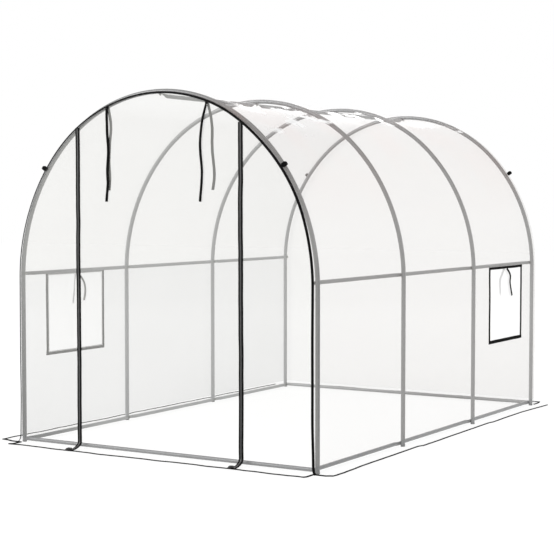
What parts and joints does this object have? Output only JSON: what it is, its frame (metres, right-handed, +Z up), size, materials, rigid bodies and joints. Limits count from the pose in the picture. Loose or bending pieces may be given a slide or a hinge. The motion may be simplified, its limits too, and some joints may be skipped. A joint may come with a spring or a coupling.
{
  "type": "polytunnel greenhouse",
  "caption": "Walk-in tunnel greenhouse: arched steel tube hoops and rails under a translucent film cover with a zipped front door, side windows and ground flaps.",
  "frame": {"origin": "on the ground, in the middle of the whole plan with its flaps", "axes": "+Y along the tunnel from the door to the rear, +X to the right seen from the door, +Z up"},
  "size_m": [2.2426, 3.2886, 2.0198],
  "materials": {
    "hoop_tube": "galvanised, satin",
    "rail_tube": "galvanised, satin",
    "cover_film": "translucent film, glossy",
    "window_film": "clear film, glossy",
    "flap_film": "translucent film, glossy",
    "black_binding": "woven tape",
    "zip_tape": "woven tape with coil teeth",
    "tie_ribbon": "woven ribbon",
    "black_webbing": "woven webbing"
  },
  "bodies": {
    "root": {"hoop_1_legs": "hoop_tube", "hoop_2_legs": "hoop_tube", "hoop_3_legs": "hoop_tube", "hoop_4_legs": "hoop_tube", "hoop_1_haunches": "hoop_tube", "hoop_2_haunches": "hoop_tube", "hoop_3_haunches": "hoop_tube", "hoop_4_haunches": "hoop_tube", "hoop_1_crown": "hoop_tube", "hoop_2_crown": "hoop_tube", "hoop_3_crown": "hoop_tube", "hoop_4_crown": "hoop_tube", "ridge_rail": "rail_tube", "left_side_rail": "rail_tube", "right_side_rail": "rail_tube", "left_base_rail": "rail_tube", "right_base_rail": "rail_tube", "front_base_rail": "rail_tube", "rear_base_rail": "rail_tube", "roof_cover": "cover_film", "left_wall": "cover_film", "right_wall": "cover_film", "front_left_panel": "cover_film", "front_right_panel": "cover_film", "door_panel": "cover_film", "rear_panel": "cover_film", "left_window": "window_film", "right_window": "window_film", "left_window_border": "black_binding", "right_window_border": "black_binding", "front_binding": "black_binding", "front_flap": "flap_film", "rear_flap": "flap_film", "left_flap": "flap_film", "right_flap": "flap_film", "left_zip": "zip_tape", "right_zip": "zip_tape", "tie_loops": "black_webbing", "left_door_tie_outer": "tie_ribbon", "left_door_tie_inner": "tie_ribbon", "right_door_tie_outer": "tie_ribbon", "right_door_tie_inner": "tie_ribbon", "left_window_tie_outer": "tie_ribbon", "left_window_tie_inner": "tie_ribbon", "right_window_tie_outer": "tie_ribbon", "right_window_tie_inner": "tie_ribbon"}
  },
  "joints": []
}
